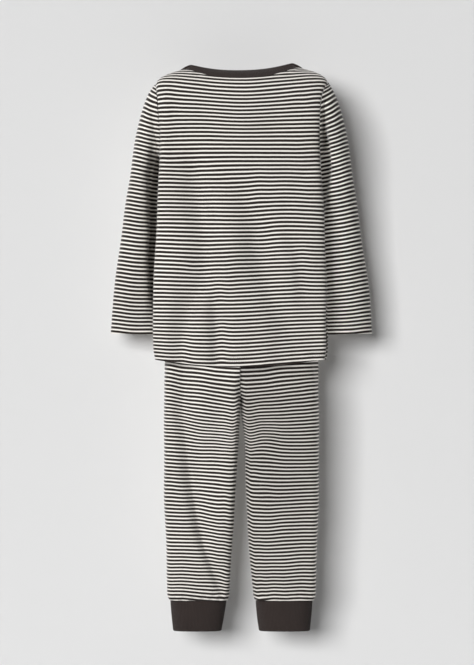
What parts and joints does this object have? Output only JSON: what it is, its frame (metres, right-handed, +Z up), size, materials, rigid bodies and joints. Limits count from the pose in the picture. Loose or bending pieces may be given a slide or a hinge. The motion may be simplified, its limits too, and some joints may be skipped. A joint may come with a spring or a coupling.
{
  "type": "child's pyjama set",
  "caption": "Child's pyjama set: long-sleeved round-neck top over trousers with rib ankle cuffs, in striped jersey, filled out as worn and hollow.",
  "frame": {"origin": "between the shoulders, at the height where the shoulder slopes meet the neck: where the wearer's shoulders carry the top", "axes": "+Z up, along the body; the back of the set faces -Y and its front +Y; in the back view the left sleeve is at -X"},
  "size_m": [0.3654, 0.1166, 0.7951],
  "materials": {
    "striped_jersey": "fine cotton jersey, dark brown and off-white stripes about 3 mm each",
    "rib_knit": "dark brown cotton rib knit",
    "covered_elastic": "soft elastic covered in the same striped jersey"
  },
  "bodies": {
    "root": {"top_back": "striped_jersey", "top_front": "striped_jersey", "sleeve_left": "striped_jersey", "sleeve_right": "striped_jersey", "neck_rib": "rib_knit", "leg_left": "striped_jersey", "leg_right": "striped_jersey", "waistband": "covered_elastic", "cuff_left": "rib_knit", "cuff_right": "rib_knit"}
  },
  "joints": []
}
